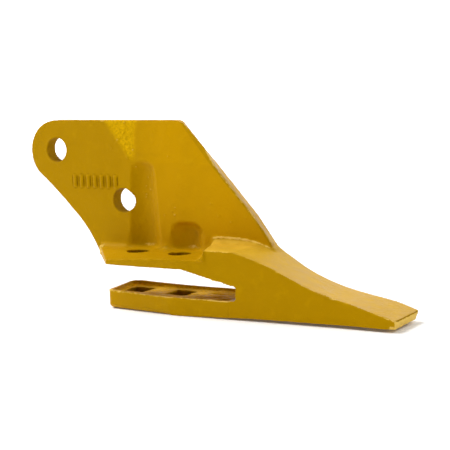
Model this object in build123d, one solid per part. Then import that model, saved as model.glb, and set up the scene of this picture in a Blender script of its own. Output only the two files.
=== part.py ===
from build123d import *
import os
from math import cos, radians, sin

# Bolt-on side cutter tooth for a bucket corner, in millimetres.
# +X points forward along the point, +Y to the outer side (towards the bucket's side plate), +Z up.
# The origin is midway between the two lip bolts, on the roof of the fork slot, where the top face
# of the bucket's lip plate is clamped.

# --- fork ---
BOLT_PITCH = 47.0          # spacing of the two lip bolts along X
ROUND_HOLE_R = 11.0        # round holes through the upper jaw
SQUARE_HOLE = 21.5         # side of the square holes that hold the bolts' necks
SLOT_HEIGHT = 26.5         # room for the lip plate
JAW_THICKNESS = 8.5        # upper jaw
JAW_NEAR_Y = -34.0         # inner side of the upper jaw
JAW_REAR_X = -37.5         # rear corner of the upper jaw on its inner side
JAW_TAPER_X = 36.0         # from here the upper jaw's inner side narrows to meet the point's
JAW_ROOT_X = -77.0         # rear corner of the upper jaw at the side plate
JAW_CORNER_R = 4.0
JAW_WORN_HEIGHT = 4.4      # what is left of its thickness at the worn inner rear corner
ROOF_FLAT_X = 44.0         # where the slot's roof starts to close down
THROAT_X = 99.2            # closed end of the slot
THROAT_TOP = -14.5         # height of the slot's closed end
THROAT_R = 3.0             # its upper corner
THROAT_FOOT_R = 4.0        # its lower corner
ROOF_BEND = (71.0, -6.9)   # the slot's roof passes through this point
LIP_REAR_X = -41.2         # inner rear corner of the lower jaw
LIP_REAR_FAR_X = -47.2     # outer rear corner, before its rounding
LIP_REAR_FAR_R = 9.0
LIP_REAR_NEAR_R = 5.5
LIP_FAR_Y = 25.8           # outer side of the lower jaw
LIP_REAR_FOOT_R = 4.5
LIP_REAR_TOP = -25.2       # the rim rises a little towards the slot's mouth
LIP_LEVEL_X = 15.0         # from here forward the rim is level
LIP_REAR_Y = -27.0         # inner side of the lower jaw at its rear end
LIP_REAR_BOTTOM = -42.5
LIP_BOTTOM = -43.1         # lowest line of the lower jaw
LIP_BOTTOM_X = 42.0        # where that line is
POCKET_DEPTH = 2.3         # sunken top face of the lower jaw
POCKET_RIM = 2.6
BOLT_HEAD_R = 17.0         # countersink for the plough bolts' heads, under the lower jaw
BOLT_HEAD_DEPTH = 7.0

# --- side plate ---
PLATE_NEAR_Y = 13.0
PLATE_FAR_Y = 26.0
PLATE_TOP = 130.5
LOBE = (-126.2, 100.2)     # centre of the round rear lobe
LOBE_R = 30.0
LOBE_SPAN = (158, 226)     # degrees round the lobe: a point on it, and where it ends below
WAIST = (-102.0, 37.5)     # in the middle of the hollow lower rear
WAIST_HOLLOWS = (0.9, 2.1) # how hollow its upper and lower halves are
LEAD_FOOT = (119.6, 8.0)   # the leading edge, from its foot ...
LEAD_BEND = (93.4, 43.9)
LEAD_TOP = (18.9, 126.5)   # ... to the rounded corner at its top
TOP_CORNER = ((16.3, 129.2), 12.2)
SIDE_HOLES = ((-125.0, 101.5), (-47.3, 53.9))
SIDE_HOLE_R = 12.5
SCALLOP_R = 21.6           # socket clearance about each lip bolt
SCALLOP_TOPS = (92.0, 35.5)
SCALLOP_TILTS = (3.0, 0.0)
SCALLOP_FOOT_R = 5.0
SCALLOP_TOP_R = 9.0
FRONT_FACE_DROP = 5.0      # how far the plate's upper front face leans back at the top edge
FRONT_FACE_FOOT = 90.5     # height where that leaning face starts
FRONT_FACE_REAR = -35.5    # its rear end, where a triangular facet joins it to the flat face
FACET_RUN = 30.0           # width of that facet at the top edge
TALLY_START = -104.0       # row of raised foundry bars
TALLY_PITCH = 8.0
TALLY_COUNT = 7
TALLY_BAR = 2.6
TALLY_HEIGHTS = (66.0, 77.0)
TALLY_PROUD = 0.9

# --- point ---
NOSE_BACK_X = 63.5         # joint between upper jaw and point
HEEL_X = 94.0              # joint between lower jaw and point
HEEL_BOTTOM = -41.4        # underside of the tooth at that joint
KNEE = (110.0, -40.8)      # where the underside turns up towards the tip
TIP_X = 249.2
TIP_TOP = -32.9
TIP_BOTTOM = -40.1
TIP_FAR_Y = 25.7
NOSE_TOP = 18.0
WIDE_X = 30.0              # the inner side tapers from here ...
WIDE_Y = -33.0
NARROW_X = 195.0           # ... to here, and is straight from there to the tip
NARROW_Y = -25.0
SHOULDER_NEAR = (69.1, -33.0)
SHOULDER_FAR = (51.7, 13.0)

# Points on the top of the point, on its inner and its outer side: arc, line, arc, line, arc.
NOSE_INNER = [(97.0, NOSE_TOP), (116.0, 12.0), (135.0, 5.2), (170.0, -10.4), (190.0, -16.8),
              (208.0, -20.9), (232.0, -28.2), (240.0, -30.4)]
NOSE_OUTER = [(97.0, NOSE_TOP), (110.5, 15.9), (121.0, 10.8), (140.0, -0.7), (168.0, -13.1),
              (200.0, -21.3), (229.0, -26.4), (239.0, -29.4)]
TIP_CORNER_R = 2.0

# --- welds ---
SHOULDER_BEAD = 9.0        # legs of the weld at the shoulder's foot
JAW_BEAD = 6.0             # legs of the welds between jaw and plate
BEAD_HOLLOW = 0.2          # how hollow a bead is, as a share of its leg
BEAD_RUN_OUT = 6.5         # length over which the jaw's beads die out beside the sockets' scallops
# Stations of the bead at the plate's foot: X, Z of the point's top, and how far the bead climbs.
TOP_BEAD = [(52.5, NOSE_TOP, 4.8), (75.0, NOSE_TOP, 5.2), (97.0, NOSE_TOP, 3.0), (106.0, 16.4, 1.7),
            (114.0, 13.4, 1.7)]
TOP_BEAD_BANDS = [(0, 1.0), (2.0, 0.45), (4.8, 0.12), (8.5, 0.0)]   # distance out, and share of the climb
TOP_BEAD_FOOT = 6.0
LEAD_BEAD_TOE_X = 115.8
LEAD_BEAD_LEG = 4.0
END_BEAD_R = 3.2
END_BEAD_HEIGHT = 4.8
END_BEAD_LENGTH = 5.0
SEAM_WIDTH = 5.0
SEAM_DEPTH = 3.5

BIG = 400.0


def block(x0, x1, y0, y1, z0, z1):
    """Box given by its limits."""
    return Pos((x0 + x1) / 2, (y0 + y1) / 2, (z0 + z1) / 2) * Box(x1 - x0, y1 - y0, z1 - z0)


def slab(profile, y0, y1):
    """Side-view profile (X, Z) made solid from y0 to y1."""
    return extrude(Plane.XZ.offset(-y1) * profile, amount=y1 - y0)


def plan_prism(profile, z0, z1):
    """Top-view profile (X, Y) made solid from z0 to z1."""
    return extrude(Pos(0, 0, z0) * profile, amount=z1 - z0)


def hollow_arc(start, end, sag):
    """Arc from start to end that bows to the left of the line by sag."""
    a = Vector(*start)
    b = Vector(*end)
    run = b - a
    side = Vector(-run.Y, run.X).normalized()
    middle = (a + b) * 0.5 + side * sag
    return ThreePointArc(start, (middle.X, middle.Y), end)


def near_y(x):
    """Inner side of the point and the lower jaw, at x."""
    along = min(1.0, (x - WIDE_X) / (NARROW_X - WIDE_X))
    return WIDE_Y + along * (NARROW_Y - WIDE_Y)


def slot_void():
    """The space between the jaws: flat, then closing down in a long arc to the throat."""
    low = -SLOT_HEIGHT
    back = THROAT_X - THROAT_R
    foot = THROAT_X - THROAT_FOOT_R
    edges = [
        Line((-BIG, 0), (ROOF_FLAT_X, 0)),
        ThreePointArc((ROOF_FLAT_X, 0), ROOF_BEND, (back, THROAT_TOP + THROAT_R - 1)),
        ThreePointArc((back, THROAT_TOP + THROAT_R - 1), (THROAT_X - 0.8, THROAT_TOP + 1.2),
                      (THROAT_X, THROAT_TOP - 1)),
        Line((THROAT_X, THROAT_TOP - 1), (THROAT_X, low + THROAT_FOOT_R)),
        RadiusArc((THROAT_X, low + THROAT_FOOT_R), (foot, low), THROAT_FOOT_R),
        Line((foot, low), (-BIG, low)),
        Line((-BIG, low), (-BIG, 0)),
    ]
    return slab(make_face(edges), -BIG / 2, BIG / 2)


def nose_side(mids):
    """Side view of the point; mids are the points that its top passes through."""
    a, arc1, b, c, arc2, d, e, arc3 = mids
    top = [
        Line((NOSE_BACK_X, NOSE_TOP), a),
        ThreePointArc(a, arc1, b),
        Line(b, c),
        ThreePointArc(c, arc2, d),
        Line(d, e),
        ThreePointArc(e, arc3, (TIP_X, TIP_TOP)),
    ]
    corners = [(TIP_X, TIP_TOP), (TIP_X, TIP_BOTTOM), KNEE, (HEEL_X, HEEL_BOTTOM), (HEEL_X, -20.0),
               (NOSE_BACK_X, -20.0), (NOSE_BACK_X, NOSE_TOP)]
    rest = [Line(p, q) for p, q in zip(corners, corners[1:])]
    return make_face(top + rest)


def shoulder_cut():
    """Everything behind the slanted shoulder of the point and above the upper jaw."""
    run = Vector(*SHOULDER_FAR) - Vector(*SHOULDER_NEAR)
    near = Vector(*SHOULDER_NEAR) - run * 0.3
    corners = [(near.X, near.Y), SHOULDER_FAR, (20.0, SHOULDER_FAR[1]), (20.0, near.Y)]
    return plan_prism(make_face(Polyline(corners, close=True)), JAW_THICKNESS, BIG)


def nose_point():
    """Wedge from the fork's throat to the blunt chisel tip, a little lower on its outer side."""
    sides = [Plane.XZ.offset(-WIDE_Y) * nose_side(NOSE_INNER),
             Plane.XZ.offset(-PLATE_FAR_Y) * nose_side(NOSE_OUTER)]
    body = loft(sides, ruled=True)
    shoulder = block(48.0, NOSE_BACK_X + 1, WIDE_Y, PLATE_NEAR_Y, JAW_THICKNESS, NOSE_TOP)
    body = body + shoulder - shoulder_cut()
    plan = Polyline([(40.0, near_y(40.0)), (NARROW_X, NARROW_Y), (TIP_X, NARROW_Y), (TIP_X, TIP_FAR_Y),
                     (NARROW_X, PLATE_FAR_Y), (40.0, PLATE_FAR_Y)], close=True)
    outline = make_face(plan)
    outline = fillet(outline.vertices().group_by(Axis.X)[-1], TIP_CORNER_R)
    body = body & plan_prism(outline, -60, 60)
    return body - slot_void()


def socket_scallops():
    """Upright pockets that clear a socket over each lip bolt's nut; the rear one leans out."""
    cutters = []
    for side, top, tilt in zip((-1, 1), SCALLOP_TOPS, SCALLOP_TILTS):
        tool = Cylinder(SCALLOP_R, top - JAW_THICKNESS, align=(Align.CENTER, Align.CENTER, Align.MIN))
        ends = tool.edges().filter_by(GeomType.CIRCLE).sort_by(Axis.Z)
        tool = fillet(ends[0], SCALLOP_FOOT_R)
        tool = fillet(tool.edges().filter_by(GeomType.CIRCLE).sort_by(Axis.Z)[-1], SCALLOP_TOP_R)
        cutters.append(Pos(side * BOLT_PITCH / 2, 0, JAW_THICKNESS) * Rot(tilt, 0, 0) * tool)
    return cutters


def leaning_face_cut():
    """Takes the plate's upper front face back towards its top edge, with a facet beside it."""
    start_x = FRONT_FACE_REAR
    top = PLATE_TOP + 10
    lean = FRONT_FACE_DROP / (PLATE_TOP - FRONT_FACE_FOOT)
    back = PLATE_NEAR_Y + lean * (top - FRONT_FACE_FOOT)
    section = make_face(Polyline([(5.0, FRONT_FACE_FOOT), (PLATE_NEAR_Y, FRONT_FACE_FOOT), (back, top),
                                  (5.0, top)], close=True))
    front = extrude(Plane.YZ.offset(start_x) * section, amount=BIG)
    facet_run = FACET_RUN * (top - FRONT_FACE_FOOT) / (PLATE_TOP - FRONT_FACE_FOOT)
    foot = make_face(Polyline([(start_x, PLATE_NEAR_Y), (start_x + 0.02, PLATE_NEAR_Y),
                               (start_x + 0.02, PLATE_NEAR_Y + 0.01)], close=True))
    head = make_face(Polyline([(start_x - facet_run, PLATE_NEAR_Y), (start_x + 0.02, PLATE_NEAR_Y),
                               (start_x + 0.02, back)], close=True))
    facet = loft([Pos(0, 0, FRONT_FACE_FOOT) * foot, Pos(0, 0, top) * head], ruled=True)
    return [front, facet]


def foundry_tally():
    """A plain row of raised bars, the same bar repeated."""
    half = TALLY_BAR / 2
    low, high = TALLY_HEIGHTS
    return [block(x - half, x + half, PLATE_NEAR_Y - TALLY_PROUD, PLATE_NEAR_Y + 1, low, high)
            for x in (TALLY_START + TALLY_PITCH * i for i in range(TALLY_COUNT))]


def plate_outline():
    """Side view of the plate: round rear lobe, level top, raked leading edge, hollow lower rear."""
    lobe_x, lobe_z = LOBE
    mid, low = [(lobe_x + LOBE_R * cos(radians(turn)), lobe_z + LOBE_R * sin(radians(turn)))
                for turn in LOBE_SPAN]
    corner, front_x = TOP_CORNER
    inside_z = -10.0
    edges = [
        ThreePointArc((lobe_x, PLATE_TOP), mid, low),
        hollow_arc(low, WAIST, WAIST_HOLLOWS[0]),
        hollow_arc(WAIST, (JAW_ROOT_X, 0.0), WAIST_HOLLOWS[1]),
        Line((JAW_ROOT_X, 0.0), (JAW_ROOT_X, inside_z)),
        Line((JAW_ROOT_X, inside_z), (NOSE_BACK_X, inside_z)),
        Line((NOSE_BACK_X, inside_z), (NOSE_BACK_X, LEAD_FOOT[1])),
        Line((NOSE_BACK_X, LEAD_FOOT[1]), LEAD_FOOT),
        Line(LEAD_FOOT, LEAD_BEND),
        Line(LEAD_BEND, LEAD_TOP),
        ThreePointArc(LEAD_TOP, corner, (front_x, PLATE_TOP)),
        Line((front_x, PLATE_TOP), (lobe_x, PLATE_TOP)),
    ]
    return make_face(edges)


def side_plate(nose):
    """Plate that bolts to the bucket's side plate, standing on the point."""
    body = slab(plate_outline(), PLATE_NEAR_Y, PLATE_FAR_Y) - slot_void()
    for x, z in SIDE_HOLES:
        body -= Pos(x, 0, z) * Rot(90, 0, 0) * Cylinder(SIDE_HOLE_R, BIG)
    for tool in socket_scallops() + leaning_face_cut():
        body -= tool
    for bar in foundry_tally():
        body += bar
    return body - nose


def upper_jaw():
    """Flange over the lip plate, with a slanted rear end and a worn inner rear corner."""
    plan = Polyline([(JAW_REAR_X, JAW_NEAR_Y), (JAW_TAPER_X, JAW_NEAR_Y), (NOSE_BACK_X, near_y(NOSE_BACK_X)),
                     (NOSE_BACK_X, PLATE_NEAR_Y), (JAW_ROOT_X, PLATE_NEAR_Y)], close=True)
    outline = make_face(plan)
    corner = outline.vertices().sort_by_distance((JAW_REAR_X, JAW_NEAR_Y))[0]
    body = plan_prism(fillet(corner, JAW_CORNER_R), -12, JAW_THICKNESS) - slot_void()
    for side in (-1, 1):
        body -= Pos(side * BOLT_PITCH / 2, 0, 0) * Cylinder(ROUND_HOLE_R, 60)
    worn = Plane(origin=(JAW_REAR_X, JAW_NEAR_Y, JAW_WORN_HEIGHT), x_dir=(65.0, -29.0, 0),
                 z_dir=(-0.058, -0.135, 0.989))
    return body - extrude(worn * Rectangle(300, 300), amount=60)


def lip_sides(inset):
    """Top view of the lower jaw, drawn in by inset."""
    front = HEEL_X - inset * 1.5
    near = (LIP_REAR_X + inset, LIP_REAR_Y + inset)
    far = (LIP_REAR_FAR_X + inset, LIP_FAR_Y - inset)
    sides = [near, (WIDE_X, WIDE_Y + inset), (front, near_y(front) + inset), (front, LIP_FAR_Y - inset), far]
    plan = make_face(Polyline(sides, close=True))
    plan = fillet(plan.vertices().sort_by(Axis.X)[0], LIP_REAR_FAR_R - inset)
    near_corner = plan.vertices().sort_by_distance(Vector(*near))[0]
    return fillet(near_corner, LIP_REAR_NEAR_R - inset * 0.5)


def rear_edges(body):
    """Edges of the lower jaw's rear end; a fillet on one runs on round the jaw."""
    return body.edges().filter_by(lambda edge: edge.bounding_box().max.X < LIP_REAR_X)


def lower_jaw():
    """Lip under the lip plate: sunken top, two square holes, countersunk from below."""
    rear_x = LIP_REAR_FAR_X - 1
    side = make_face(Polyline([(rear_x, LIP_REAR_TOP), (rear_x, LIP_REAR_BOTTOM), (LIP_BOTTOM_X, LIP_BOTTOM),
                               (HEEL_X, HEEL_BOTTOM), (HEEL_X, -SLOT_HEIGHT), (LIP_LEVEL_X, -SLOT_HEIGHT)], close=True))
    body = plan_prism(lip_sides(0), -60, 0) & slab(side, -60, 60)
    body = fillet(rear_edges(body).sort_by(Axis.Z)[0], LIP_REAR_FOOT_R)
    body -= plan_prism(lip_sides(POCKET_RIM), -SLOT_HEIGHT - POCKET_DEPTH, 0)
    for sign in (-1, 1):
        place = Pos(sign * BOLT_PITCH / 2, 0, 0)
        body -= place * Pos(0, 0, -35) * Box(SQUARE_HOLE, SQUARE_HOLE, 40)
        cone = Cone(BOLT_HEAD_R + 1.5, 6.0, BOLT_HEAD_DEPTH * 1.6)
        body -= place * Pos(0, 0, LIP_BOTTOM + BOLT_HEAD_DEPTH * 0.65) * cone
    return body


def concave_bead(leg):
    """Section of a fillet weld with its corner at the origin, legs along -X and +Y."""
    hollow = hollow_arc((0, leg), (-leg, 0), leg * BEAD_HOLLOW)
    edges = [Line((0, 0), (0, leg)), hollow, Line((-leg, 0), (0, 0))]
    return make_face(edges)


def shoulder_weld():
    """Concave weld across the upper jaw, at the foot of the point's slanted shoulder."""
    run = (Vector(*SHOULDER_FAR) - Vector(*SHOULDER_NEAR)).normalized()
    start = Vector(*SHOULDER_FAR) + run * 6
    place = Plane(origin=(start.X, start.Y, JAW_THICKNESS), x_dir=(run.Y, -run.X, 0), z_dir=(-run.X, -run.Y, 0))
    bead = extrude(place * concave_bead(SHOULDER_BEAD), amount=70)
    return bead & block(0, 100, WIDE_Y + 0.4, PLATE_NEAR_Y, 0, 40)


def jaw_fillet_welds(nose, shoulder):
    """Fillet welds between the jaw's top and the plate, dying out beside the socket scallops."""
    section = Plane.YZ.offset(JAW_ROOT_X + 2) * Pos(PLATE_NEAR_Y, JAW_THICKNESS) * concave_bead(JAW_BEAD)
    bead = extrude(section, amount=130)
    run_out = Cone(SCALLOP_R, SCALLOP_R + BEAD_RUN_OUT, JAW_BEAD, align=(Align.CENTER, Align.CENTER, Align.MIN))
    for side, tool in zip((-1, 1), socket_scallops()):
        bead -= tool
        bead -= Pos(side * BOLT_PITCH / 2, 0, JAW_THICKNESS) * run_out
    bead -= nose
    bead -= shoulder
    return bead


def nose_top_weld(nose, plate):
    """Hollow bead along the foot of the side plate, following the top of the point round its shoulder."""
    def band(reach, share):
        top = [(x, z + share * rise) for x, z, rise in TOP_BEAD]
        foot = [(TOP_BEAD[-1][0], TOP_BEAD_FOOT), (TOP_BEAD[0][0], TOP_BEAD_FOOT)]
        outline = Polyline(top + foot, close=True)
        return Plane.XZ.offset(reach - PLATE_NEAR_Y) * make_face(outline)

    bead = loft([band(reach, share) for reach, share in TOP_BEAD_BANDS], ruled=True)
    return bead - nose - plate


def leading_edge_weld(nose, plate):
    """Small bead that closes the joint at the front of the plate, from its inner to its outer side."""
    toe_x = LEAD_BEAD_TOE_X
    front_x = toe_x + LEAD_BEAD_LEG
    foot = make_face(Polyline([(toe_x - 5, 5.0), (front_x, 5.0), (front_x, 11.6), (toe_x - 2, 16.6),
                               (toe_x - 5, 16.6)], close=True))
    bead = slab(foot, PLATE_NEAR_Y, PLATE_FAR_Y - 0.5)
    return bead - nose - plate


def rear_end_weld(jaw, plate):
    """Rounded end bead on the upper jaw's slanted end, at the plate's lower rear corner."""
    place = Pos(JAW_ROOT_X + END_BEAD_R + 2, PLATE_NEAR_Y - END_BEAD_R, END_BEAD_HEIGHT)
    bead = place * Cylinder(END_BEAD_R, END_BEAD_LENGTH)
    for end in (-1, 1):
        bead += place * Pos(0, 0, end * END_BEAD_LENGTH / 2) * Sphere(END_BEAD_R)
    bead = bead & block(-100, 0, -20, PLATE_NEAR_Y, 0.6, 30)
    return bead - jaw - plate


def upper_seam(jaw, nose):
    """Flush seam round the joint between upper jaw and point: underside and inner side."""
    half = SEAM_WIDTH / 2
    x0, x1 = NOSE_BACK_X - half, NOSE_BACK_X + half
    core = block(x0 - 1, x1 + 1, near_y(NOSE_BACK_X) + SEAM_DEPTH, BIG / 2, -1.2, BIG / 2)
    return ((jaw + nose) & block(x0, x1, -60, PLATE_NEAR_Y, -20, JAW_THICKNESS - 1.5)) - core


def lower_seam(lip, nose):
    """Flush seam right round the joint between lower jaw and point."""
    half = SEAM_WIDTH / 2
    x0, x1 = HEEL_X - half, HEEL_X + half
    core = block(x0 - 1, x1 + 1, near_y(HEEL_X) + SEAM_DEPTH, LIP_FAR_Y - SEAM_DEPTH, LIP_BOTTOM + 5,
                 -SLOT_HEIGHT - SEAM_DEPTH)
    return ((lip + nose) & block(x0, x1, -60, 60, -60, -SLOT_HEIGHT + 0.5)) - core


def back_seam(plate, nose):
    """Flush seam on the outer face, along the joint between plate and point."""
    half = SEAM_WIDTH / 2
    y0 = PLATE_FAR_Y - SEAM_DEPTH
    level = block(NOSE_BACK_X - half, 98.0, y0, 60, NOSE_TOP - half, NOSE_TOP + half)
    upright = block(NOSE_BACK_X - half, NOSE_BACK_X + half, y0, 60, -20, NOSE_TOP)
    return (plate + nose) & (level + upright)


def build():
    """All the pieces by node name."""
    nose = nose_point()
    plate = side_plate(nose)
    jaw = upper_jaw()
    lip = lower_jaw()
    parts = {"upper_jaw_seam_weld": upper_seam(jaw, nose),
             "lower_jaw_seam_weld": lower_seam(lip, nose),
             "back_seam_weld": back_seam(plate, nose)}
    seams = list(parts.values())
    shoulder = shoulder_weld()
    for seam in seams:
        nose -= seam
        plate -= seam
        jaw -= seam
        lip -= seam
    parts["shoulder_weld"] = shoulder - nose - jaw
    parts["jaw_fillet_welds"] = jaw_fillet_welds(nose, shoulder) - plate - jaw
    parts["nose_top_weld"] = nose_top_weld(nose, plate) - shoulder - jaw
    parts["leading_edge_weld"] = leading_edge_weld(nose, plate) - parts["nose_top_weld"]
    parts["rear_end_weld"] = rear_end_weld(jaw, plate) - parts["jaw_fillet_welds"]
    parts.update({"side_plate": plate, "upper_jaw": jaw, "lower_jaw": lip, "nose_point": nose})
    return parts


os.makedirs("parts", exist_ok=True)
for name, shape in build().items():
    export_step(Compound(children=list(shape.solids())) if len(shape.solids()) > 1 else shape.solid(),
                f"parts/{name}.step")
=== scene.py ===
import math

import bmesh
import bpy
import numpy as np
from mathutils import Matrix, Vector
from mathutils.kdtree import KDTree


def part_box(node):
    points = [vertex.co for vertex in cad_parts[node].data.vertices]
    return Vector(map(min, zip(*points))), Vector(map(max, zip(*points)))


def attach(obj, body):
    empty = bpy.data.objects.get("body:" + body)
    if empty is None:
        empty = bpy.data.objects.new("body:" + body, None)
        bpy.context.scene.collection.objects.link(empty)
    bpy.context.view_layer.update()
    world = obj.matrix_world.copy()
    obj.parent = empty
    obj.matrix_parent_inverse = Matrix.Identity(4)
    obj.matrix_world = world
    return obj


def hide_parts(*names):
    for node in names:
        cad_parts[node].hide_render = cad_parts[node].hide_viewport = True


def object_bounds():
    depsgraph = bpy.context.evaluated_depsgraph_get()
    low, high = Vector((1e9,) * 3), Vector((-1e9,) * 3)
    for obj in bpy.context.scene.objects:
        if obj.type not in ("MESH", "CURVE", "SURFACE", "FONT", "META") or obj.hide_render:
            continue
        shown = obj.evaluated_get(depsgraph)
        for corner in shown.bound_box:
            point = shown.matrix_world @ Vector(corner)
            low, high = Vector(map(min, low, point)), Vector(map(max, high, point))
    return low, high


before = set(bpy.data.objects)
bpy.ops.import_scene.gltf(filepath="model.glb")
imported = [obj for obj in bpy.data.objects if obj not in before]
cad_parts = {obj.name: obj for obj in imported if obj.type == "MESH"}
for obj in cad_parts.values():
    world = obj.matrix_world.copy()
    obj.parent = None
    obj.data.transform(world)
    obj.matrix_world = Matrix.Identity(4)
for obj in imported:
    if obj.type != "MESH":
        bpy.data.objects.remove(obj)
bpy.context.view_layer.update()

MM = 0.001

# The tooth is one continuous skin, with its joints ground and painted over. The skin is made
# first, roughened, worn and given its painted light and shade as a whole, and then cut along
# the CAD joints into one closed piece for each CAD node: the welds first, then the bodies, and
# the point is what is left.
WELDS = ("shoulder_weld", "nose_top_weld", "leading_edge_weld", "rear_end_weld", "jaw_fillet_welds",
         "upper_jaw_seam_weld", "lower_jaw_seam_weld", "back_seam_weld")
BODIES = ("upper_jaw", "lower_jaw", "side_plate")
LAST = "nose_point"
SLOTS = {"side_plate": "plate_paint", "upper_jaw": "jaw_paint", "lower_jaw": "jaw_paint",
         "nose_point": "point_paint"}

SKIN_VOXEL = 0.8 * MM
SOFTENING = 2               # rounds of averaging that round the skin's edges
CORNER_SOFTENING = 40       # more of them where corners are filled in
RIM_SOFTENING = 14          # and on the rims of the sockets' pockets,
RIM_SPREAD = 12             # which reach this many corners out from the pockets' walls
RIM_GAIN = 4.0
SHARP_SPREAD = 10           # how sharp a place is, is judged over this many corners
EDGE_FILL = 0.25            # what the softening took off an edge, in mm, and is put back
HOLE_FILL = 0.7             # the same on the walls of the plate's round holes
MAIN_SHARE = 0.5            # the skin is the shell with over half of the corners
CRUMB_SHARE = 0.03          # and in a cut piece, shells under this share are waste
CUTTER_VOXEL = 0.7 * MM
CUTTER_PROUD = 1.3 * MM     # how far a cutter stands out of the skin where its node shows
TOUCH = (0.4 * MM, 0.9 * MM)   # a cutter's corner nearer the skin than this is on it, or off it

# Places on the object, in millimetres. What the frame knows comes from the frame.
PLATE_FACE_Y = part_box("upper_jaw")[1].y / MM
PLATE_TOP_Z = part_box("side_plate")[1].z / MM
JAW_TOP_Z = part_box("upper_jaw")[1].z / MM
TIP_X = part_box("nose_point")[1].x / MM
RIM_RISE = 1.3              # the lower jaw's rim rises this much to the rear
LIP_TOP_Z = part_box("lower_jaw")[1].z / MM - RIM_RISE
BOLTS_X = (-23.5, 23.5)
BOLT_HOLE_R = 11.0
SQUARE_HALF = 10.8          # half the side of the lower jaw's square holes
SCALLOP_R = 21.6
SCALLOP_TOPS = (92.0, 35.5)
SIDE_HOLES = ((-125.0, 101.5), (-47.3, 53.9))
SIDE_HOLE_R = 12.5
FACET_X = -35.5             # front side of the facet on the plate's upper face,
FACET_RUN = 30.0            # which is this long at the top
FACET_FOOT = 90.5           # and ends at this height
LIP_INNER = ((-41.2, -27.0), (30.0, -33.0), (195.0, -25.0))   # the lower jaw's inner side, X and Y
LEAD_TOP = (18.9, 126.5)    # the plate's straight leading edge runs from here ...
LEAD_FOOT = (93.4, 43.9)    # ... to here, in X and Z,
SLANT = ((84.0, 2.2), (93.0, 4.2), (106.0, 7.4), (130.0, 5.0))   # and leans out by this, by height
BEAD_TOE = ((50, 22.4), (64, 23.5), (81, 22.9), (96, 21.0), (104, 18.5), (113, 15.6))   # X and Z
BEAD_TOE_WIDTH = 1.05
BEAD_TOE_HEIGHT = 0.95
TIP_EDGE_Z = -33.6          # the dark line under the tip's top edge
REAR_FOOT = (-71.8, 9.8, 4.8)   # the plate's lower rear corner, where it is rubbed bare

# Soft boxes. Each holds, for X, Y and Z, where it starts, is full, begins to fade and has ended.
SHOULDER = ((36.0, 41.0, 54.0, 62.0), (-34.0, -26.0, 16.0, 20.0), (8.0, 9.0, 24.0, 32.0))
PLATE_FOOT = ((-74.0, -66.0, 52.0, 60.0), (3.0, 7.0, 38.0, 40.0), (7.0, 9.0, 20.0, 26.0))
LEAD_ARRIS = (None, (9.0, 12.0, 16.0, 20.0), (12.0, 18.0, 102.0, 108.0))
MARKS = ((-112.0, -108.0, -50.0, -46.0), None, (62.0, 64.0, 79.0, 81.0))
STRUCK_AND_LIT_REAR = ((-76.0, -70.0, -36.0, -30.0), None, None)    # where the plate's top edge is struck, and painted with highlights
STRUCK_AND_LIT_FRONT = ((-14.0, -8.0, 0.0, 6.0), None, None)

# Clusters of spatter on the plate: centre X and Z, spread, and how many.
SPATTER = ((-45, 116, 7, 16), (-37, 97, 3, 6), (-22, 58, 5, 7), (12, 44, 6, 8), (50, 61, 9, 5),
           (-34, 36, 4, 4), (-14, 98, 26, 12), (60, 60, 30, 10))
SPATTER_SEED = 7

# The studio, in metres.
FLOOR_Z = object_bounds()[0].z
FLOOR_REACH = 1.35
CAMERA_AT = Vector((0.6734, -1.0051, 0.2006))
CAMERA_AIM = (-0.5079, 0.8503, -0.1383)
CAMERA_UP = (-0.0431, 0.1353, 0.9899)
LENS_MM = 104.4
SENSOR_MM = 36.0
LIGHTS = (("overhead", (-1.5, -0.4, 2.5), (1.6, 1.6), 90.0),
          ("left", (-3.0, -1.4, 1.0), (2.0, 2.0), 5.0),
          ("back", (0.8, 2.6, 1.8), (3.0, 2.0), 30.0),
          ("back_low", (0.5, 2.5, 0.6), (3.0, 1.0), 11.0),
          ("right_high", (0.9, -0.6, 0.9), (0.5, 0.5), 3.6))   # name, place, size, watts
WORLD_SIDES = (("Y", 0.84), ("X", -0.50))
HORIZON_LEVEL = 0.95        # a white band round the horizon that fades out upwards,
HORIZON_BAND = (0.03, 0.22)    # between these heights on a sphere of radius 1

# Colours, as linear red, green and blue.
# The first three are lighter and darker copies of one paint, painted light and shade for how brightly each
# part and each end is lit.
PLATE_PAINT = (0.56, 0.289, 0.0002)
PAINT = (0.50, 0.264, 0.0002)
PAINT_SHADED = (0.45, 0.240, 0.0002)
PAINT_THIN = (0.43, 0.222, 0.0002)
# A lighter copy of the paint, put on as painted light.
PAINT_LIT = (0.76, 0.440, 0.004)
PAINT_PALE = (0.70, 0.400, 0.001)
# Pale dust, also put on the point's upward faces as painted light.
DUST_AND_LIGHT_TONE = (0.68, 0.405, 0.035)
# Worn paint, also used for painted highlights.
WORN_AND_HIGHLIGHT = (0.82, 0.55, 0.11)
# Dark brown, put in corners and holes as painted shade.
GRIME_AND_SHADE = (0.15, 0.072, 0.001)
FLOOR_TONES = ((0.95, 0.95, 0.95), (0.98, 0.98, 0.975))
FLOOR_GLOW = 0.05
# For each slot: the paint at the rear and at the front, lighter and darker copies of one paint that stand in
# for how brightly it is lit;
# how far wear and painted highlights go, and how dark the painted shade and grime get.
PAINTS = {"plate_paint": (PAINT_SHADED, PLATE_PAINT, 0.85, 0.95),
          "jaw_paint": (PAINT, PAINT_SHADED, 0.80, 1.0),
          "point_paint": (PAINT_SHADED, PAINT_SHADED, 0.85, 0.95),
          "weld_paint": (PAINT, PAINT_SHADED, 0.85, 0.95)}
FRONT_BEGINS = (-0.060, 0.010)    # from the rear paint to the front paint between these X, in metres, as painted light along the part
PAINT_IOR = 1.18
SHEEN_TINT = (1.0, 0.60, 0.02, 1.0)
MASKS = ("wear_and_highlights", "grime_and_shade", "painted_light", "dust_and_light")
SHARP_ANGLE = math.radians(50)


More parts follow.
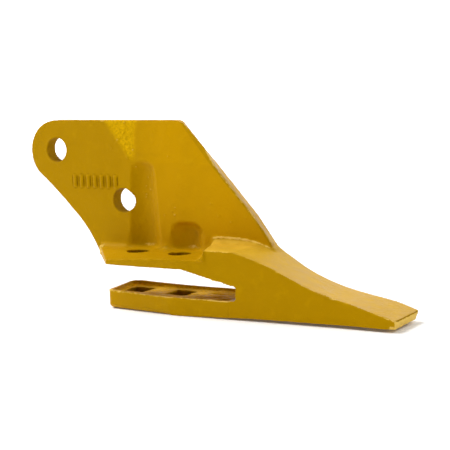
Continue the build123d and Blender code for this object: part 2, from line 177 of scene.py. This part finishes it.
# ---------------------------------------------------------------- mesh helpers

def points_of(mesh):
    co = np.empty(len(mesh.vertices) * 3, np.float32)
    mesh.vertices.foreach_get("co", co)
    return co.reshape(-1, 3).astype(float)


def set_points(mesh, points):
    mesh.vertices.foreach_set("co", points.astype(np.float32).ravel())
    mesh.update()


def normals_of(mesh):
    no = np.empty(len(mesh.vertices) * 3, np.float32)
    mesh.vertex_normals.foreach_get("vector", no)
    return no.reshape(-1, 3).astype(float)


def around(mesh, values, rounds):
    """Each corner's value averaged with its neighbours', this many times over."""
    pairs = np.empty(len(mesh.edges) * 2, np.int32)
    mesh.edges.foreach_get("vertices", pairs)
    a, b = pairs.reshape(-1, 2).T
    out = values.reshape(len(values), -1).astype(float)
    count = np.bincount(pairs, minlength=len(out))
    for _ in range(rounds):
        for k in range(out.shape[1]):
            total = np.bincount(a, out[b, k], len(out)) + np.bincount(b, out[a, k], len(out))
            out[:, k] = 0.5 * out[:, k] + 0.5 * total / count
    return out.reshape(values.shape)


def with_data(name, data):
    """A new object in the scene for this mesh, camera or light."""
    obj = bpy.data.objects.new(name, data)
    bpy.context.scene.collection.objects.link(obj)
    return obj


def evaluated(obj):
    """The object's mesh with its modifiers applied; the object itself goes."""
    graph = bpy.context.evaluated_depsgraph_get()
    mesh = bpy.data.meshes.new_from_object(obj.evaluated_get(graph))
    bpy.data.objects.remove(obj)
    return mesh


def joined(nodes):
    """One mesh holding copies of these CAD nodes, with their doubled corners merged."""
    bm = bmesh.new()
    for node in nodes:
        bm.from_mesh(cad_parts[node].data)
    bmesh.ops.remove_doubles(bm, verts=bm.verts, dist=0.002 * MM)
    mesh = bpy.data.meshes.new("joined")
    bm.to_mesh(mesh)
    bm.free()
    return mesh


def remeshed(mesh, voxel):
    obj = with_data("remesh", mesh)
    step = obj.modifiers.new("voxels", "REMESH")
    step.mode = "VOXEL"
    step.voxel_size = voxel
    return evaluated(obj)


def cut(mesh, cutter, operation):
    obj = with_data("cut", mesh)
    tool = with_data("tool", cutter)
    step = obj.modifiers.new("cut", "BOOLEAN")
    step.operation = operation
    step.solver = "MANIFOLD"
    step.object = tool
    result = evaluated(obj)
    bpy.data.objects.remove(tool)
    return result


def without_crumbs(mesh, share):
    """Takes off the mesh its loose shells with less than this share of its corners."""
    bm = bmesh.new()
    bm.from_mesh(mesh)
    seen = bytearray(len(bm.verts))
    crumbs = []
    for start in bm.verts:
        if seen[start.index]:
            continue
        seen[start.index] = 1
        shell = [start]
        for vert in shell:
            for edge in vert.link_edges:
                other = edge.other_vert(vert)
                if not seen[other.index]:
                    seen[other.index] = 1
                    shell.append(other)
        if len(shell) < share * len(seen):
            crumbs += shell
    bmesh.ops.delete(bm, geom=crumbs, context="VERTS")
    bm.to_mesh(mesh)
    bm.free()


# ---------------------------------------------------------------- relief of the skin, in mm

def ease(value, low, high):
    """0 below low, 1 above high, smooth between; low may be the larger."""
    t = np.clip((value - low) / (high - low), 0.0, 1.0)
    return t * t * (3 - 2 * t)


def bump(distance, width):
    return np.exp(-(distance / width) ** 2)


def plateau(value, start, full, fading, ended):
    """0 before start, 1 from full to fading, and 0 again after ended."""
    return ease(value, start, full) * ease(value, ended, fading)


def inside(p, box):
    """1 in the middle of a soft box and 0 outside it."""
    amount = np.ones(len(p))
    for values, limits in zip(p.T, box):
        if limits:
            amount *= plateau(values, *limits)
    return amount


def lattice(i, j, k, seed):
    """A repeatable number from -1 to 1 for each whole point."""
    n = (i * 374761393 + j * 668265263 + k * 2147483647 + seed * 1274126177) & 0xFFFFFFFF
    n = ((n ^ (n >> 13)) * 1274126177) & 0xFFFFFFFF
    n = ((n ^ (n >> 16)) * 2246822519) & 0xFFFFFFFF
    return (n & 0xFFFFFF) / 0x7FFFFF - 1.0


def noise(points, size, seed):
    """Smooth noise of about -1 to 1 whose bumps are this many millimetres across."""
    at = points / size
    low = np.floor(at).astype(np.int64)
    u = ease(at - low, 0.0, 1.0)
    total = np.zeros(len(points))
    for di in (0, 1):
        for dj in (0, 1):
            for dk in (0, 1):
                weight = (np.where(di, u[:, 0], 1 - u[:, 0]) * np.where(dj, u[:, 1], 1 - u[:, 1])
                          * np.where(dk, u[:, 2], 1 - u[:, 2]))
                total += weight * lattice(low[:, 0] + di, low[:, 1] + dj, low[:, 2] + dk, seed)
    return total


def height_on(x, points):
    """Height at x on the line through these (x, z) points."""
    return np.interp(x, [at[0] for at in points], [at[1] for at in points])


def behind_lead(p):
    """How far each point lies behind the plate's straight leading edge."""
    run = np.array(LEAD_FOOT) - np.array(LEAD_TOP)
    run /= np.hypot(*run)
    return (LEAD_TOP[0] - p[:, 0]) * -run[1] - (p[:, 2] - LEAD_TOP[1]) * run[0]


def off_side_holes(p):
    """0 beside the two round holes in the side plate, 1 elsewhere."""
    away = np.ones(len(p))
    for hole_x, hole_z in SIDE_HOLES:
        reach = np.hypot(p[:, 0] - hole_x, p[:, 2] - hole_z)
        away *= ease(reach, SIDE_HOLE_R + 1.5, SIDE_HOLE_R + 4.0)
    return away


def on_hole_walls(p):
    """1 on the walls of the two round holes in the side plate."""
    walls = np.zeros(len(p))
    for hole_x, hole_z in SIDE_HOLES:
        reach = np.hypot(p[:, 0] - hole_x, p[:, 2] - hole_z)
        walls += ease(reach, SIDE_HOLE_R + 1.2, SIDE_HOLE_R + 0.4)
    return walls


def on_facet(p):
    """1 on the three-sided facet above the rear socket pocket, which is painted paler as painted light, for
    the light it catches.
    """
    x, y, z = p.T
    rear = FACET_X - FACET_RUN * (z - FACET_FOOT) / (PLATE_TOP_Z - FACET_FOOT)
    across = plateau(x, rear - 4.0, rear + 4.0, FACET_X - 3.0, FACET_X + 6.0)
    return across * ease(z, FACET_FOOT, FACET_FOOT + 6.0) * ease(y, 22.0, 19.0)


def on_nose_top(p, normals):
    """1 on the top of the point, from its shoulder to the tip, on faces turned upwards, which is painted
    paler as dust and as painted light, also on the ramp behind the shoulder that lies in shade.
    """
    x, y, z = p.T
    ahead = ease(x, 48.0, 56.0) * ease(z, 9.0, 13.0) + ease(x, 99.0, 103.0)
    facing_up = ease(normals[:, 2], 0.35, 0.75)
    thinner_ahead = 1.0 - 0.42 * ease(x, 80.0, 140.0)
    return np.clip(ahead, 0.0, 1.0) * facing_up * ease(z, 30.0, 25.0) * thinner_ahead


def in_scallop(p):
    """1 on the walls of the two upright socket pockets in the side plate."""
    x, y, z = p.T
    inside = np.zeros(len(p))
    for bolt_x, top in zip(BOLTS_X, SCALLOP_TOPS):
        wide = ease(abs(x - bolt_x), SCALLOP_R + 2.0, SCALLOP_R)
        inside += wide * ease(z, top + 9.0, top + 6.0)
    depth = ease(y, PLATE_FACE_Y + 0.4, PLATE_FACE_Y + 1.2) * ease(y, 25.0, 24.0)
    return inside * depth * ease(z, JAW_TOP_Z + 1.0, JAW_TOP_Z + 5.0) * off_side_holes(p)


def in_pocket(p):
    """1 on the sunken floor of the lower jaw."""
    x, y, z = p.T
    near = height_on(x, LIP_INNER)
    level = plateau(z, LIP_TOP_Z - 4.5, LIP_TOP_Z - 3.0, LIP_TOP_Z - 1.6, LIP_TOP_Z - 0.6)
    return level * ease(x, 92.0, 90.0) * ease(y, near + 1.4, near + 2.8) * ease(y, 25.0, 23.0)


def soft_places(p):
    """1 where inner corners are filled in: round the shoulder and along the plate's foot."""
    return np.clip(inside(p, SHOULDER) + inside(p, PLATE_FOOT), 0.0, 1.0)


def lead_zone(p):
    """1 on the inner arris of the plate's leading edge, where the edge is full width."""
    x, y, z = p.T
    return inside(p, LEAD_ARRIS) * ease(x + 0.86 * z, 96.0, 110.0)


def nose_edge_zone(p):
    """1 on the inner top edge of the point."""
    x, y, z = p.T
    return ease(x, 70.0, 73.0) * ease(y, -16.0, -22.0) * ease(z, -36.5, -34.0)


def bead_toe(p):
    """1 on the upper toe of the weld along the plate's foot."""
    x, y, z = p.T
    off = np.hypot(z - height_on(x, BEAD_TOE), (y - PLATE_FACE_Y) * 0.7)
    return plateau(x, 50.0, 53.0, 111.0, 114.0) * bump(off, BEAD_TOE_WIDTH)


def cast_grain(p):
    """The fine orange peel and slow waviness of a painted casting."""
    grain = 0.06 * noise(p, 2.4, 1) + 0.09 * noise(p, 5.5, 2) + 0.20 * noise(p, 19.0, 3)
    grain += in_scallop(p) * (0.16 * noise(p, 4.0, 4) + 0.10 * noise(p, 2.2, 5))
    pocket = in_pocket(p)
    grain += pocket * (0.30 * noise(p, 6.0, 6) + 0.22 * noise(p, 3.0, 7))
    along = p * np.array([0.22, 1.0, 1.0])
    grain += pocket * ease(p[:, 0], 20.0, 60.0) * 0.75 * noise(along, 2.6, 8)
    return grain


def ragged_edges(p, edge):
    """Flash and chips along the sharp edges of the plate and the point; edge is 0 to 1."""
    x, y, z = p.T
    chips = 0.30 * noise(p, 2.6, 21) + 0.30 * noise(p, 6.0, 22)
    nose = 1.7 * nose_edge_zone(p)
    crest = ease(z, PLATE_TOP_Z - 4.0, PLATE_TOP_Z - 2.0) * ease(y, 23.0, 18.0)
    notch = 0.8 * bump(x - 185.0, 6.0) * ease(x, 193.5, 192.0)
    return edge * (chips * (nose + 1.3 * lead_zone(p) + crest) + notch * nose)


def spatter(p):
    """Small beads of weld spatter and paint runs on the plate."""
    rng = np.random.default_rng(SPATTER_SEED)
    total = np.zeros(len(p))
    x, y, z = p.T
    near = (y > PLATE_FACE_Y - 2) & (y < PLATE_FACE_Y + 7)
    for centre_x, centre_z, spread, count in SPATTER:
        for _ in range(count):
            spot_x = centre_x + rng.normal(0, spread)
            spot_z = centre_z + rng.normal(0, spread * 1.3)
            size = rng.uniform(0.5, 1.1)
            total[near] += 0.9 * size * bump(np.hypot(x[near] - spot_x, z[near] - spot_z), size)
    return total


def reshaped(p):
    """Shapes that grinding and use gave: a slanted leading edge, and two rubbed corners on the tip."""
    x, y, z = p.T
    out = p.copy()
    inner = plateau(y, 9.0, 12.0, PLATE_FACE_Y, 26.0)
    front = ease(behind_lead(p), 26.0, 2.0) * plateau(z, 14.0, 22.0, PLATE_TOP_Z - 3.0, PLATE_TOP_Z)
    out[:, 0] += height_on(z, SLANT) * inner * front
    low = ease(x, TIP_X - 9.0, TIP_X - 1.0) * ease(z, -34.0, -40.0)
    out[:, 0] -= 1.0 * low
    out[:, 1] -= 2.6 * low * ease(y, 14.0, 25.0)
    out[:, 1] += 1.8 * ease(x, TIP_X - 12.0, TIP_X) * ease(z, -31.0, -41.0) * ease(y, -2.0, -22.0)
    return out


def struck_and_lit_edges(p, edge):
    """Pale on the point's inner top edge and the plate's top edge: worn paint where they were struck, and
    painted highlights where they catch the light.
    """
    x, y, z = p.T
    struck_and_lit = 0.22 + 0.40 * ease(x, 104.0, 84.0)
    # Painted glints on the point's inner top edge near the tip.
    struck_and_lit += 0.4 * ease(x, 225.0, 240.0) + 0.3 * bump(x - 192.0, 4.0)
    # The plate's top edge: worn paint and painted highlights.
    top_edge = ease(z, PLATE_TOP_Z - 3.0, PLATE_TOP_Z - 1.5)
    top_struck_and_lit = 0.6 * top_edge * (inside(p, STRUCK_AND_LIT_REAR) + inside(p, STRUCK_AND_LIT_FRONT))
    return edge * (nose_edge_zone(p) * struck_and_lit + top_struck_and_lit)


def rubbed_and_lit_places(p):
    """Pale where things slide: the lower jaw's rim, the tip and the plate's rear foot, as worn paint with
    painted highlights on the rim; and painted highlights above the bolts.
    """
    x, y, z = p.T
    # The lower jaw's rim: worn paint, and painted highlights where it catches the light.
    rim = ease(z, LIP_TOP_Z - 1.0, LIP_TOP_Z - 0.2) * ease(x, 96.0, 90.0) * ease(z, -18.0, -22.0)
    wear_and_highlights = 0.45 * rim * ease(y, -22.0, -26.0)
    wear_and_highlights += 0.9 * ease(x, TIP_X - 1.6, TIP_X - 0.7) * ease(z, -33.2, -34.4)
    wear_and_highlights += 0.75 * ease(x, TIP_X - 13.0, TIP_X - 3.0) * ease(z, -35.0, -39.0)
    foot_x, foot_y, foot_z = REAR_FOOT
    reach = np.sqrt((x - foot_x) ** 2 + (y - foot_y) ** 2 + 0.4 * (z - foot_z) ** 2)
    wear_and_highlights += 0.9 * ease(reach, 5.0, 3.0)
    # Painted highlights above each bolt hole, where the fillet behind it catches the overhead light.
    for bolt_x in BOLTS_X:
        glint = np.hypot((x - bolt_x - 2.0) / 9.0, (z - JAW_TOP_Z - 3.4) / 1.6)
        wear_and_highlights += 0.55 * bump(glint, 1.0) * ease(y, PLATE_FACE_Y + 1.0, PLATE_FACE_Y + 3.0)
    return wear_and_highlights


def wear_and_highlights_of(p, edge):
    """How pale the paint is, 0 to 1: where it is worn off, and where highlights are painted in."""
    # Painted highlights on the spatter beads and along the weld's upper toe, which catch the light from
    # above.
    wear_and_highlights = 0.10 * edge + 0.55 * spatter(p) + 0.95 * bead_toe(p)
    # The leading edge's inner arris: worn paint and painted highlights.
    wear_and_highlights += 0.75 * edge * lead_zone(p) * (0.65 + 0.7 * noise(p, 9.0, 31))
    return np.clip(wear_and_highlights + struck_and_lit_edges(p, edge) + rubbed_and_lit_places(p), 0.0, 1.0)


def grime_and_shade_of(p, sharp):
    """How dark each place is painted, 0 to 1: painted shade in concave corners, the socket pockets, the
    sunken floor, round the cast number's bars and inside the holes, where the side plate's round holes also
    show bare brown metal; and a dark line under the tip's top edge.
    """
    x, y, z = p.T
    # Painted shade in concave corners, on the socket pockets' walls and on the sunken floor.
    grime_and_shade = 0.12 * ease(sharp, -0.06, -0.35) + 0.06 * in_scallop(p) + 0.02 * in_pocket(p)
    # Painted shade round the bars of the cast number, where their edges throw shadow.
    grime_and_shade += 0.9 * inside(p, MARKS) * ease(sharp, -0.02, -0.14)
    # Painted shade inside the square holes and the bolt holes of the jaws.
    for bolt_x in BOLTS_X:
        square = ease(np.maximum(abs(x - bolt_x), abs(y)), SQUARE_HALF + 1.0, SQUARE_HALF + 0.1)
        grime_and_shade += 0.7 * square * ease(z, LIP_TOP_Z - 1.5, LIP_TOP_Z - 3.5)
        hole = ease(np.hypot(x - bolt_x, y), BOLT_HOLE_R + 0.9, BOLT_HOLE_R + 0.2)
        grime_and_shade += 0.9 * hole * plateau(z, -6.0, -3.0, JAW_TOP_Z - 2.0, JAW_TOP_Z - 0.5)
    # The side plate's round holes: bare brown metal on their walls, darkened further as painted shade.
    for hole_x, hole_z in SIDE_HOLES:
        reach = np.hypot(x - hole_x, z - hole_z)
        grime_and_shade += 0.55 * ease(reach, SIDE_HOLE_R + 0.6, SIDE_HOLE_R) * ease(y, 12.5, 15.0)
    grime_and_shade += 0.8 * ease(x, TIP_X - 2.0, TIP_X - 0.8) * bump(z - TIP_EDGE_Z, 0.7)
    return np.clip(grime_and_shade, 0.0, 1.0)


def relief_of(p, edge):
    """How far the skin stands out of its plain shape, in mm."""
    uneven = 0.6 + 0.4 * noise(p, 2.3, 11) + 0.2 * noise(p, 6.0, 12)
    return (cast_grain(p) + HOLE_FILL * on_hole_walls(p) + BEAD_TOE_HEIGHT * bead_toe(p) * uneven
            + ragged_edges(p, edge) + spatter(p) + EDGE_FILL * edge)


def softened(mesh):
    """The mesh's corners with every edge rounded, and with some places rounded more."""
    points = around(mesh, points_of(mesh), SOFTENING)
    soft = soft_places(points / MM)[:, None]
    points += soft * (around(mesh, points, CORNER_SOFTENING) - points)
    rims = np.clip(RIM_GAIN * around(mesh, in_scallop(points / MM), RIM_SPREAD), 0.0, 1.0)
    rims *= off_side_holes(points / MM)
    points += rims[:, None] * (around(mesh, points, RIM_SOFTENING) - points)
    return points


def make_skin():
    """The whole casting as one closed mesh: plain corners and normals, the relief, and the finish with its
    painted light and shade.
    """
    mesh = remeshed(joined(WELDS + BODIES + (LAST,)), SKIN_VOXEL)
    without_crumbs(mesh, MAIN_SHARE)
    points = reshaped(softened(mesh) / MM) * MM
    set_points(mesh, points)
    normals = normals_of(mesh)
    sharp = ((points - around(mesh, points, SHARP_SPREAD)) * normals).sum(1) / MM
    edge = ease(sharp, 0.12, 0.45)
    p = points / MM
    set_points(mesh, points + normals * (relief_of(p, edge) * MM)[:, None])
    # Painted light: the facet and the sunken floor are painted paler for the light they catch; the point's
    # top is paler as dust and as painted light.
    finish = {"wear_and_highlights": wear_and_highlights_of(p, edge), "grime_and_shade": grime_and_shade_of(p, sharp), "dust_and_light": on_nose_top(p, normals),
              "painted_light": np.clip(on_facet(p) + in_pocket(p), 0.0, 1.0)}
    return mesh, points, normals, finish


def search_tree(points):
    tree = KDTree(len(points))
    for i, point in enumerate(points):
        tree.insert(point, i)
    tree.balance()
    return tree


def nearest(tree, points):
    found = [tree.find(point) for point in points]
    return np.array([f[1] for f in found]), np.array([f[2] for f in found])


def cutter_for(node, tree, normals):
    """The CAD node's own solid, standing a little out of the skin wherever the node shows."""
    mesh = remeshed(joined([node]), CUTTER_VOXEL)
    points = points_of(mesh)
    index, distance = nearest(tree, points)
    push = CUTTER_PROUD * ease(distance, TOUCH[1], TOUCH[0])
    set_points(mesh, points + normals[index] * push[:, None])
    return mesh


def cut_pieces():
    """{node: mesh}, one closed mesh for each CAD node, with its finish and painted light and shade written on
    its corners.
    """
    rest, plain_points, normals, finish = make_skin()
    plain = search_tree(plain_points)
    final = search_tree(points_of(rest))
    pieces = {}
    for node in WELDS + BODIES:
        cutter = cutter_for(node, plain, normals)
        pieces[node] = cut(rest, cutter, "INTERSECT")
        rest = cut(rest, cutter, "DIFFERENCE")
    pieces[LAST] = rest
    for node, mesh in pieces.items():
        without_crumbs(mesh, CRUMB_SHARE)
        index, _ = nearest(final, points_of(mesh))
        for name, values in finish.items():
            layer = mesh.attributes.new(name, "FLOAT", "POINT")
            layer.data.foreach_set("value", values[index].astype(np.float32))
    return pieces


# ---------------------------------------------------------------- materials

COLOUR_SOCKETS = slice(6, 8)    # a Mix node's two colours
COLOUR_RESULT = 2               # and its blended colour


class Nodes:
    """Short forms for building a material."""

    def __init__(self, name):
        self.material = bpy.data.materials.new(name)
        self.material.use_nodes = True
        self.tree = self.material.node_tree
        self.tree.nodes.clear()
        self.place = self.add("ShaderNodeTexCoord").outputs["Object"]

    def add(self, kind, **values):
        node = self.tree.nodes.new(kind)
        for key, value in values.items():
            setattr(node, key, value)
        return node

    def link(self, source, socket):
        self.tree.links.new(source, socket)

    def across(self):
        """The X of each place on the part, in metres."""
        node = self.add("ShaderNodeSeparateXYZ")
        self.link(self.place, node.inputs["Vector"])
        return node.outputs["X"]

    def noise(self, scale, detail, rough=0.55):
        """Fractal noise; scale is in bumps a metre."""
        node = self.add("ShaderNodeTexNoise")
        node.inputs["Scale"].default_value = scale
        node.inputs["Detail"].default_value = detail
        node.inputs["Roughness"].default_value = rough
        self.link(self.place, node.inputs["Vector"])
        return node.outputs["Fac"]

    def span(self, value, low, high, to_low=0.0, to_high=1.0):
        """value from low..high mapped smoothly to to_low..to_high."""
        node = self.add("ShaderNodeMapRange", interpolation_type="SMOOTHSTEP")
        self.link(value, node.inputs["Value"])
        for socket, number in zip(("From Min", "From Max", "To Min", "To Max"), (low, high, to_low, to_high)):
            node.inputs[socket].default_value = number
        return node.outputs["Result"]

    def combine(self, operation, a, b):
        node = self.add("ShaderNodeMath", operation=operation)
        for socket, value in zip(node.inputs, (a, b)):
            if isinstance(value, float):
                socket.default_value = value
            else:
                self.link(value, socket)
        return node.outputs["Value"]

    def plus(self, a, b):
        return self.combine("ADD", a, b)

    def times(self, a, b):
        return self.combine("MULTIPLY", a, b)

    def mix(self, amount, a, b):
        """Colour a where amount is 0 and b where it is 1."""
        node = self.add("ShaderNodeMix", data_type="RGBA")
        self.link(amount, node.inputs["Factor"])
        for socket, value in zip(node.inputs[COLOUR_SOCKETS], (a, b)):
            if isinstance(value, tuple):
                socket.default_value = (*value, 1.0)
            else:
                self.link(value, socket)
        return node.outputs[COLOUR_RESULT]

    def bump(self, height, strength, distance, under=None):
        node = self.add("ShaderNodeBump")
        node.inputs["Strength"].default_value = strength
        node.inputs["Distance"].default_value = distance
        self.link(height, node.inputs["Height"])
        if under is not None:
            self.link(under, node.inputs["Normal"])
        return node.outputs["Normal"]

    def finish(self, shader):
        output = self.add("ShaderNodeOutputMaterial")
        self.link(shader.outputs["BSDF"], output.inputs["Surface"])
        return self.material


def enamel(n, masks, patches, rear_paint, front_paint):
    """The paint's colour: lighter and darker from rear to front as painted light, thin here, pale there,
    painted paler on the facet and the sunken floor as painted light, and paler on the point's top as dust and
    as painted light.
    """
    # Rear to front: lighter and darker copies of one paint, as painted light along the part.
    colour = n.mix(n.span(n.across(), *FRONT_BEGINS), rear_paint, front_paint)
    colour = n.mix(n.span(n.noise(22.0, 3.0), 0.35, 0.70, 0.0, 0.35), colour, PAINT_THIN)
    colour = n.mix(n.span(patches, 0.52, 0.80, 0.0, 0.20), colour, PAINT_PALE)
    colour = n.mix(n.span(n.noise(1100.0, 2.0, 0.7), 0.62, 0.74, 0.0, 0.35), colour, PAINT_PALE)
    # Painted light in flecks on the facet and the sunken floor.
    lit_flecks = n.times(masks["painted_light"], n.span(n.noise(420.0, 4.0, 0.7), 0.35, 0.68, 0.35, 1.0))
    colour = n.mix(lit_flecks, colour, PAINT_LIT)
    # The point's top painted paler: dust, and painted light on its upward faces.
    return n.mix(n.times(masks["dust_and_light"], n.span(patches, 0.3, 0.7, 0.55, 0.95)), colour, DUST_AND_LIGHT_TONE)


def painted_metal(name, rear_paint, front_paint, wear_and_highlights, grime_and_shade_depth):
    """Old mustard enamel over a casting: uneven, pale on its arrises from wear and painted highlights,
    darkened in its corners and holes with painted shade.
    """
    n = Nodes(name)
    masks = {mask: n.add("ShaderNodeAttribute", attribute_name=mask).outputs["Fac"] for mask in MASKS}
    patches = n.noise(90.0, 5.0, 0.6)
    fine = n.noise(900.0, 3.0, 0.6)
    # Painted shade, darkening corners and holes to dark brown.
    grime_and_shade = n.times(masks["grime_and_shade"], n.span(n.noise(300.0, 5.0, 0.65), 0.25, 0.60, 0.55, grime_and_shade_depth))
    # Worn paint and painted highlights, mixed to the pale worn colour.
    rubbed_and_lit = n.plus(masks["wear_and_highlights"], n.span(n.noise(260.0, 5.0, 0.65), 0.32, 0.68, -0.45, 0.10))
    rubbed_and_lit = n.span(rubbed_and_lit, 0.12, 0.60, 0.0, wear_and_highlights)
    colour = n.mix(grime_and_shade, enamel(n, masks, patches, rear_paint, front_paint), GRIME_AND_SHADE)
    shader = n.add("ShaderNodeBsdfPrincipled")
    n.link(n.mix(rubbed_and_lit, colour, WORN_AND_HIGHLIGHT), shader.inputs["Base Color"])
    rough = n.plus(n.span(patches, 0.3, 0.7, 0.34, 0.48), n.span(fine, 0.35, 0.65, -0.04, 0.05))
    rough = n.plus(rough, n.times(grime_and_shade, 0.35))
    n.link(n.plus(rough, n.times(rubbed_and_lit, 0.12)), shader.inputs["Roughness"])
    matt = n.plus(n.times(masks["painted_light"], 1.1), n.times(masks["dust_and_light"], 0.75))
    matt = n.plus(matt, n.times(rubbed_and_lit, 0.55))
    sheen = n.times(n.span(grime_and_shade, 0.0, 0.35, 0.5, 0.05), n.span(matt, 0.0, 1.0, 1.0, 0.15))
    n.link(sheen, shader.inputs["Specular IOR Level"])
    shader.inputs["IOR"].default_value = PAINT_IOR
    shader.inputs["Specular Tint"].default_value = SHEEN_TINT
    peel = n.bump(n.noise(340.0, 4.0, 0.6), 0.60, 0.7 * MM)
    n.link(n.bump(fine, 0.45, 0.3 * MM, peel), shader.inputs["Normal"])
    return n.finish(shader)


def floor_material():
    n = Nodes("pale_floor")
    shader = n.add("ShaderNodeBsdfPrincipled")
    n.link(n.mix(n.span(n.noise(3.0, 3.0), 0.3, 0.7), *FLOOR_TONES), shader.inputs["Base Color"])
    shader.inputs["Roughness"].default_value = 0.85
    shader.inputs["Specular IOR Level"].default_value = 0.1
    shader.inputs["Emission Color"].default_value = (1.0, 1.0, 1.0, 1.0)
    shader.inputs["Emission Strength"].default_value = FLOOR_GLOW
    return n.finish(shader)


# ---------------------------------------------------------------- studio

def add_camera():
    data = bpy.data.cameras.new("camera")
    data.lens = LENS_MM
    data.sensor_width = SENSOR_MM
    obj = with_data("camera", data)
    back = -Vector(CAMERA_AIM).normalized()
    right = Vector(CAMERA_UP).cross(back).normalized()
    up = back.cross(right)
    turn = Matrix((right, up, back)).transposed().to_4x4()
    obj.matrix_world = Matrix.Translation(CAMERA_AT) @ turn
    bpy.context.scene.camera = obj


def add_lights():
    """White panels, each turned towards the part's origin."""
    for name, at, size, watts in LIGHTS:
        data = bpy.data.lights.new(name, "AREA")
        data.shape = "RECTANGLE"
        data.size, data.size_y = size
        data.energy = watts
        light = with_data(name, data)
        turn = (-Vector(at)).to_track_quat("-Z", "Y")
        light.matrix_world = Matrix.Translation(at) @ turn.to_matrix().to_4x4()


def add_world():
    """White surroundings, brightest behind and to the left of the part and round the horizon."""
    world = bpy.data.worlds.new("studio")
    world.use_nodes = True
    tree = world.node_tree
    axes = tree.nodes.new("ShaderNodeSeparateXYZ")
    tree.links.new(tree.nodes.new("ShaderNodeTexCoord").outputs["Generated"], axes.inputs["Vector"])
    level = tree.nodes.new("ShaderNodeMapRange")
    tree.links.new(axes.outputs["Z"], level.inputs["Value"])
    level.inputs["From Min"].default_value = HORIZON_BAND[0]
    level.inputs["From Max"].default_value = HORIZON_BAND[1]
    level.inputs["To Min"].default_value = HORIZON_LEVEL
    level.inputs["To Max"].default_value = 0.0
    total = level.outputs["Result"]
    for axis, strength in WORLD_SIDES:
        side = tree.nodes.new("ShaderNodeMath")
        side.operation = "MULTIPLY"
        side.use_clamp = True
        side.inputs[1].default_value = strength
        tree.links.new(axes.outputs[axis], side.inputs[0])
        step = tree.nodes.new("ShaderNodeMath")
        tree.links.new(total, step.inputs[0])
        tree.links.new(side.outputs["Value"], step.inputs[1])
        total = step.outputs["Value"]
    background = tree.nodes["Background"]
    background.inputs["Color"].default_value = (1, 1, 1, 1)
    tree.links.new(total, background.inputs["Strength"])
    bpy.context.scene.world = world


def add_floor():
    bm = bmesh.new()
    bmesh.ops.create_grid(bm, x_segments=8, y_segments=8, size=FLOOR_REACH)
    mesh = bpy.data.meshes.new("floor")
    bm.to_mesh(mesh)
    bm.free()
    floor = with_data("floor", mesh)
    floor.location.z = FLOOR_Z
    mesh.materials.append(floor_material())


def add_pieces():
    paints = {slot: painted_metal(slot, *values) for slot, values in PAINTS.items()}
    for node, mesh in cut_pieces().items():
        slot = SLOTS.get(node, "weld_paint")
        mesh.materials.clear()
        mesh.materials.append(paints[slot])
        mesh.polygons.foreach_set("material_index", [0] * len(mesh.polygons))
        mesh.shade_smooth()
        mesh.set_sharp_from_angle(angle=SHARP_ANGLE)
        piece = with_data(node + "_skin", mesh)
        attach(piece, "root")
        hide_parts(node)


add_pieces()
add_floor()
add_camera()
add_lights()
add_world()
bpy.context.scene.view_settings.view_transform = "Standard"
